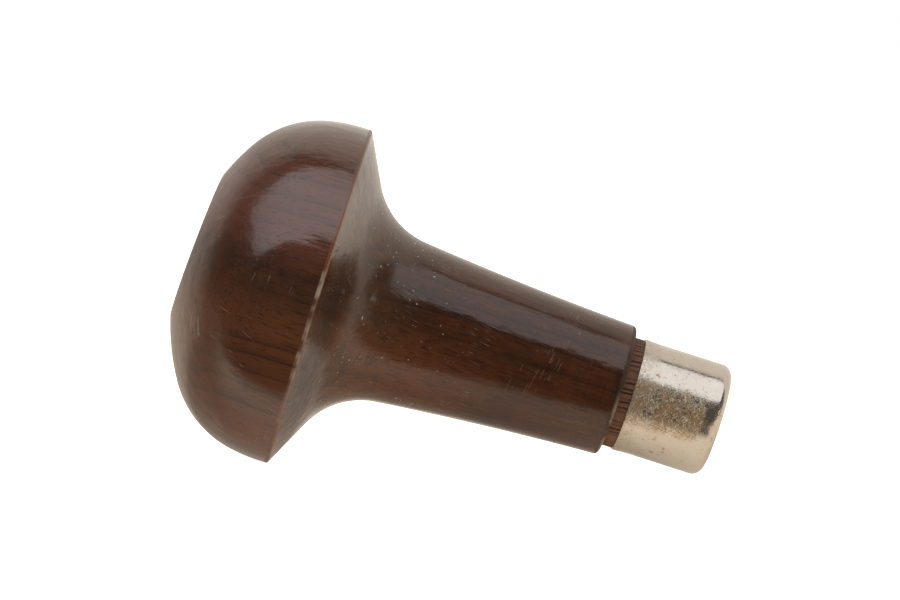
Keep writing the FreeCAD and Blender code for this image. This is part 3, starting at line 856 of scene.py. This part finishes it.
class LINO_OT_clip(bpy.types.Operator):
    """Press the spring clip: its cup and its four leaves"""
    bl_idname = "lino.clip"
    bl_label = "Spring clip"

    def execute(self, context):
        s = context.scene.lino_insert
        steel = drawn_metal("blued_spring_steel", s.spring_steel, s.spring_stain, 0.3, 0.2, 2.4)
        hole = s.screw_out + 0.1 * MM
        inside = cup_out - s.clip_sheet
        outline = Outline("clip_base", cup_back, hole)
        corner_radius = 0.2 * MM
        corner = pt(cup_back + corner_radius, cup_out - corner_radius)
        outline.line(cup_back, corner.z)
        outline.arc(corner, pt(corner.x, cup_out), steps=4)
        outline.line(cup_rim, cup_out, steps=2)
        outline.line(cup_rim, inside)
        outline.line(cup_back + s.clip_sheet, inside, steps=2)
        outline.line(cup_back + s.clip_sheet, hole)
        outline.line(cup_back, hole)
        cup = outline.turned(96)
        lay_down(cup)
        finish(cup, steel, "holder", "spring_steel", "clip_base")

        joints = [joint for joint in frame["joints"] if joint["child"].startswith("leaf_")]
        first = self.leaf(s)
        for index, joint in enumerate(joints, start=1):
            select_only(first)
            bpy.ops.object.duplicate()
            leaf = bpy.context.object
            leaf.name = f"clip_leaf_{index}"
            hinge = stood_up @ Vector(joint["pos_m"])
            place_mesh(leaf, Matrix.Rotation(math.atan2(-hinge.y, hinge.z), 4, "X"))
            lay_down(leaf)
            finish(leaf, steel, joint["child"], "spring_steel", f"clip_leaf_{index}")
        bpy.data.objects.remove(first)
        return {"FINISHED"}

    def leaf(self, s):
        """One leaf, straight up from the axis: bend line, knee and turned-in tip.

        Its root is relieved on the inside, so that it clears the cup when the leaf bends in.
        """
        knee = pt(leaf_root + s.leaf_length, leaf_out - s.knee_radius)
        root = pt(leaf_root, cup_out)
        to_knee = knee - root
        rise = math.asin(s.knee_radius / to_knee.length) + math.atan2(to_knee.z, to_knee.x)
        up = 90 + math.degrees(rise)
        tip = 90 - math.degrees(s.tip_turn)
        inner = s.knee_radius - s.clip_sheet
        inner_touch = polar(knee, inner, up)
        relief = 0.08 * MM
        root_z = inner_touch.z - (inner_touch.x - leaf_root - relief) * math.tan(rise)
        outline = Outline("leaf", root.x, root.z)
        touch = polar(knee, s.knee_radius, up)
        outline.line(touch.x, touch.z, steps=6)
        outline.arc(knee, polar(knee, s.knee_radius, tip), steps=8)
        inner_tip = polar(knee, inner, tip)
        outline.line(inner_tip.x, inner_tip.z)
        outline.arc(knee, inner_touch, steps=8)
        outline.line(leaf_root + relief, root_z, steps=6)
        outline.line(root.x, root.z)
        leaf = outline.turned(16, s.leaf_spread)
        middle = sum((v.co for v in leaf.data.vertices), Vector()) / len(leaf.data.vertices)
        place_mesh(leaf, Matrix.Rotation(math.atan2(middle.y, middle.z), 4, "X"))
        return leaf


class LINO_OT_screw(bpy.types.Operator):
    """Turn the slotted wood screw that holds the clip"""
    bl_idname = "lino.screw"
    bl_label = "Screw"

    def execute(self, context):
        s = context.scene.lino_insert
        seat = screw_top - s.head_height
        edge = pt(screw_top - s.head_edge, screw_head_out - s.head_edge)
        outline = Outline("clip_screw", screw_point, 0)
        outline.line(screw_point + s.screw_taper, s.screw_out, steps=2)
        outline.line(seat, s.screw_out, steps=2)
        outline.line(seat, screw_head_out)
        outline.line(edge.x, edge.z + s.head_edge)
        outline.arc(edge, pt(screw_top, edge.z), steps=6)
        outline.line(screw_top, 0, steps=2)
        screw = outline.turned(96)

        bpy.ops.object.select_all(action="DESELECT")
        bpy.ops.mesh.primitive_cube_add(size=1, location=(screw_top, 0, 0))
        slot = bpy.context.object
        slot.scale = (2 * s.slot_depth, 3 * screw_head_out, s.slot_width)
        bpy.ops.object.transform_apply(location=False, rotation=False, scale=True)
        bpy.context.view_layer.objects.active = screw
        cut = screw.modifiers.new("slot", "BOOLEAN")
        cut.operation = "DIFFERENCE"
        cut.object = slot
        bpy.ops.object.modifier_apply(modifier=cut.name)
        bpy.data.objects.remove(slot)
        lay_down(screw)
        zinc = drawn_metal("zinc_plated_steel", s.zinc, s.zinc_stain, 0.36, 0.15, 0.5)
        finish(screw, zinc, "holder", "zinc_plated_steel", "clip_screw")
        return {"FINISHED"}


class LINO_OT_stage(bpy.types.Operator):
    """Set up the floor, the softbox, the small light, the backdrop and the camera"""
    bl_idname = "lino.stage"
    bl_label = "Stage"

    def execute(self, context):
        s = context.scene.lino_stage
        low, high = cad_box
        target = (Vector(low) + Vector(high)) / 2 + AIM_OFFSET
        turned = Quaternion((1, 0, 0), math.pi / 2 - s.elevation) @ Quaternion((0, 0, 1), s.roll)
        bpy.ops.object.camera_add(location=target + turned @ Vector((0, 0, s.distance)))
        camera = context.object
        camera.rotation_euler = turned.to_euler()
        camera.data.lens = s.lens
        camera.data.sensor_width = 36.0
        camera.data.clip_start = 0.01
        context.scene.camera = camera

        self.floor(s)
        self.softbox(s, target)
        self.card(s, target)
        self.world(context, s)
        context.scene.view_settings.view_transform = "Standard"
        return {"FINISHED"}

    def floor(self, s):
        """A plain pale floor; its glow, as the tool mirrors it, is painted: a pool of light from just in front of
        the tool backwards and a patch on its right, with a painted shadow right under the tool.

        Its places are in metres from the origin, which is under the middle of the tool.
        """
        bpy.ops.mesh.primitive_plane_add(size=8.0, location=(0, 0, 0))
        floor = bpy.context.object
        floor.name = "floor"
        material, tree = new_material("matt_white_floor", s.floor_colour)
        place = add(tree, "ShaderNodeTexCoord")
        split = add(tree, "ShaderNodeSeparateXYZ", {"Vector": place.outputs["Object"]})
        across, deep = split.outputs["X"], split.outputs["Y"]
        back = band(tree, plus(tree, across, deep, -0.1), -0.0245, -0.0165)
        right = times(tree, band(tree, across, 0.032, 0.040), band(tree, deep, -0.054, -0.040))
        lit = add(tree, "ShaderNodeMath", {0: back, 1: right}, operation="MAXIMUM").outputs["Value"]
        # Painted shadow of the tool, darkest right under it.
        off = add(tree, "ShaderNodeMath", {0: deep}, operation="ABSOLUTE").outputs["Value"]
        spread = plus(tree, across, off, 0.2)
        unshaded = times(tree, lit, band(tree, spread, 0.002, 0.015, 1.0, 0.35))
        bright = plus(tree, unshaded, s.room, s.floor_shine - s.room)
        seen = add(tree, "ShaderNodeLightPath")
        fill = times(tree, seen.outputs["Is Diffuse Ray"], s.floor_fill)
        strength = add(tree, "ShaderNodeMath", {0: bright, 1: fill}, operation="MAXIMUM")
        bounce = add(tree, "ShaderNodeEmission", {
            "Color": s.floor_bounce, "Strength": strength.outputs["Value"]})
        matt = add(tree, "ShaderNodeBsdfDiffuse", {"Color": s.floor_colour})
        glow = add(tree, "ShaderNodeEmission", {"Color": WHITE, "Strength": s.floor_glow})
        plain = add(tree, "ShaderNodeAddShader", {0: matt.outputs["BSDF"], 1: glow.outputs["Emission"]})
        both = add(tree, "ShaderNodeMixShader", {
            0: seen.outputs["Is Camera Ray"], 1: bounce.outputs["Emission"], 2: plain.outputs["Shader"]})
        add(tree, "ShaderNodeOutputMaterial", {"Surface": both.outputs["Shader"]})
        floor.data.materials.append(material)

    def light(self, spot, turn, width, depth, tint, radiance):
        """A rectangular light with the same radiance all over, which the camera doesn't see."""
        bpy.ops.object.light_add(type="AREA", location=spot, rotation=turn)
        light = bpy.context.object
        light.data.shape = "RECTANGLE"
        light.data.size = width
        light.data.size_y = depth
        light.data.color = tint
        light.data.energy = radiance * math.pi * width * depth
        light.visible_camera = False

    def softbox(self, s, target):
        """A softbox over the tool, leaning a little to the camera's side of it."""
        facing = Quaternion((1, 0, 0), s.box_lean)
        spot = target + Vector((s.box_aside, 0, 0)) + facing @ Vector((0, 0, s.box_away))
        self.light(spot, (s.box_lean, 0, 0), s.box_width, s.box_depth, s.box_colour, s.box_radiance)

    def card(self, s, target):
        """A small warm light low on the right, which glints in the ferrule's rounded edge."""
        aim = Vector((0.9, -0.42, 0.0)).normalized()
        turn = aim.to_track_quat("Z", "Y").to_euler()
        spot = target + aim * s.card_away
        self.light(spot, turn, s.card_size, s.card_size, s.card_colour, s.card_radiance)

    def world(self, context, s):
        """A white backdrop behind the tool and a dark room on the camera's side of it."""
        world = bpy.data.worlds.new("studio")
        context.scene.world = world
        world.use_nodes = True
        tree = world.node_tree
        tree.nodes.clear()
        place = add(tree, "ShaderNodeTexCoord")
        split = add(tree, "ShaderNodeSeparateXYZ", {"Vector": place.outputs["Generated"]})
        back = plus(tree, split.outputs["X"], split.outputs["Y"], 0.3)
        side = band(tree, back, 0.25, 0.37, s.backdrop, s.room)
        seen = add(tree, "ShaderNodeLightPath")
        light = add(tree, "ShaderNodeBackground", {"Color": s.room_colour, "Strength": side})
        white = add(tree, "ShaderNodeBackground", {"Color": WHITE, "Strength": 1.0})
        mixed = add(tree, "ShaderNodeMixShader", {
            0: seen.outputs["Is Camera Ray"], 1: light.outputs["Background"],
            2: white.outputs["Background"]})
        add(tree, "ShaderNodeOutputWorld", {"Surface": mixed.outputs["Shader"]})


class LINO_PT_panel(bpy.types.Panel):
    """The pieces of the palm holder"""
    bl_idname = "LINO_PT_panel"
    bl_label = "Lino cutter palm holder"
    bl_space_type = "VIEW_3D"
    bl_region_type = "UI"
    bl_category = "Lino cutter"

    def draw(self, context):
        for operator in OPERATORS:
            self.layout.operator(operator.bl_idname)


SETTINGS = {
    "lino_handle": HandleSettings,
    "lino_ferrule": FerruleSettings,
    "lino_insert": InsertSettings,
    "lino_stage": StageSettings,
}
OPERATORS = (LINO_OT_handle, LINO_OT_ferrule, LINO_OT_socket, LINO_OT_clip, LINO_OT_screw, LINO_OT_stage)


def register():
    for group in SETTINGS.values():
        bpy.utils.register_class(group)
    for name, group in SETTINGS.items():
        setattr(bpy.types.Scene, name, bpy.props.PointerProperty(type=group))
    for cls in OPERATORS + (LINO_PT_panel,):
        bpy.utils.register_class(cls)


def unregister():
    for cls in reversed(OPERATORS + (LINO_PT_panel,)):
        bpy.utils.unregister_class(cls)
    for name in SETTINGS:
        delattr(bpy.types.Scene, name)
    for group in SETTINGS.values():
        bpy.utils.unregister_class(group)


def main():
    register()
    bpy.ops.lino.handle()
    bpy.ops.lino.ferrule()
    bpy.ops.lino.socket()
    bpy.ops.lino.clip()
    bpy.ops.lino.screw()
    bpy.ops.lino.stage()


if __name__ == "__main__":
    main()
